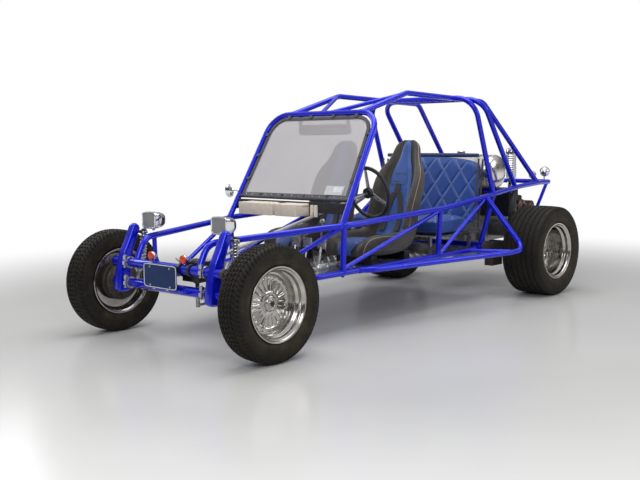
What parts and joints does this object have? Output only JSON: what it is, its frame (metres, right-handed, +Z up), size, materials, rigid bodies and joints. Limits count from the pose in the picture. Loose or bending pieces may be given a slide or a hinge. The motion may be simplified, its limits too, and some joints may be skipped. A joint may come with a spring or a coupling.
{
  "type": "four-seat tube-frame dune buggy",
  "caption": "Open tube-frame dune buggy with bucket seats, a quilted rear bench, twin-tube front beam, exposed rear engine and polished wheels.",
  "frame": {"origin": "on the ground under the middle of the bounding box", "axes": "+X forward, +Y to the car's left, +Z up"},
  "size_m": [3.9423, 1.735, 1.5074],
  "materials": {
    "frame_paint": "gloss cobalt blue enamel",
    "tread_plate": "raised bar tread, bright",
    "black_paint": "satin black",
    "zinc_steel": "zinc plated",
    "cast_iron": "dark casting",
    "window_rubber": "dark grey rubber edge",
    "clear_sheet": "clear sheet with a slight grey haze",
    "cream_plastic": "aged cream plastic",
    "seat_vinyl": "blue centre and dark grey bolsters",
    "bench_vinyl": "diamond quilted blue with grey piping",
    "polished_aluminium": "spun and polished",
    "cast_aluminium": "cast, a little dusty",
    "chrome": "bright plating",
    "header_coating": "heat-tinted bronze",
    "orange_lens": "orange lens",
    "plate_enamel": "blank blue plate with a white border",
    "mirror_back": "beige back",
    "grip_vinyl": "black grip",
    "tyre_rubber": "black rubber with a little road dust"
  },
  "bodies": {
    "chassis": {"lower_rails": "frame_paint", "side_bars": "frame_paint", "upper_rails": "frame_paint", "tail_bar": "frame_paint", "windshield_hoop": "frame_paint", "roof_rails": "frame_paint", "main_hoop": "frame_paint", "rear_hoop": "frame_paint", "side_uprights": "frame_paint", "side_diagonals": "frame_paint", "floor_tubes": "frame_paint", "engine_guard": "frame_paint", "floor_pan": "tread_plate", "front_beam": "frame_paint", "shock_towers": "frame_paint", "front_arms": "black_paint", "front_shocks": "zinc_steel", "steering_box": "black_paint", "windshield_frame": "window_rubber", "windshield_pane": "clear_sheet", "dash_panel": "black_paint", "cowl_boxes": "cream_plastic", "cabin_controls": "zinc_steel", "seat_left": "seat_vinyl", "seat_right": "seat_vinyl", "rear_bench": "bench_vinyl", "fuel_tank": "polished_aluminium", "engine_case": "cast_aluminium", "fan_shroud": "black_paint", "air_cleaner": "chrome", "exhaust": "header_coating", "transaxle": "cast_aluminium", "torsion_housing": "frame_paint", "rear_arms": "black_paint", "rear_shocks": "black_paint", "headlamps": "chrome", "turn_signals": "orange_lens", "tail_lamps": "chrome", "number_plate": "plate_enamel", "mirrors": "mirror_back"},
    "steering_wheel": {"steering_wheel": "grip_vinyl"},
    "tie_rods": {"tie_rods": "zinc_steel"},
    "knuckle_left": {"knuckle_left": "cast_iron"},
    "knuckle_right": {"knuckle_right": "cast_iron"},
    "wheel_front_left": {"rim_front_left": "polished_aluminium", "tyre_front_left": "tyre_rubber"},
    "wheel_front_right": {"rim_front_right": "polished_aluminium", "tyre_front_right": "tyre_rubber"},
    "wheel_rear_left": {"rim_rear_left": "polished_aluminium", "tyre_rear_left": "tyre_rubber"},
    "wheel_rear_right": {"rim_rear_right": "polished_aluminium", "tyre_rear_right": "tyre_rubber"}
  },
  "joints": [
    {"name": "steer_left", "type": "hinge", "parent": "chassis", "child": "knuckle_left", "pos_m": [1.65, 0.6, 0.321], "axis": [0, 0, 1], "range_deg": [-28, 28]},
    {"name": "steer_right", "type": "hinge", "parent": "chassis", "child": "knuckle_right", "pos_m": [1.65, -0.6, 0.321], "axis": [0, 0, 1], "range_deg": [-28, 28]},
    {"name": "tie_rod_slide", "type": "slide", "parent": "chassis", "child": "tie_rods", "axis": [0, 1, 0], "range_m": [-0.06, 0.06]},
    {"name": "steering_turn", "type": "hinge", "parent": "chassis", "child": "steering_wheel", "pos_m": [0.26, 0.24, 0.825], "axis": [-0.974, 0.0334, 0.2241], "range_deg": [-395, 395]},
    {"name": "spin_front_left", "type": "hinge", "parent": "knuckle_left", "child": "wheel_front_left", "pos_m": [1.65, 0.702, 0.321], "axis": [0, 1, 0], "continuous": true},
    {"name": "spin_front_right", "type": "hinge", "parent": "knuckle_right", "child": "wheel_front_right", "pos_m": [1.65, -0.702, 0.321], "axis": [0, 1, 0], "continuous": true},
    {"name": "spin_rear_left", "type": "hinge", "parent": "chassis", "child": "wheel_rear_left", "pos_m": [-1.19, 0.715, 0.331], "axis": [0, 1, 0], "continuous": true},
    {"name": "spin_rear_right", "type": "hinge", "parent": "chassis", "child": "wheel_rear_right", "pos_m": [-1.19, -0.715, 0.331], "axis": [0, 1, 0], "continuous": true}
  ],
  "couplings": [
    {"joint": "steer_right", "follows": "steer_left", "ratio": 1},
    {"joint": "tie_rod_slide", "follows": "steer_left", "m_per_rad": -0.12},
    {"joint": "steering_turn", "follows": "steer_left", "ratio": 14}
  ]
}
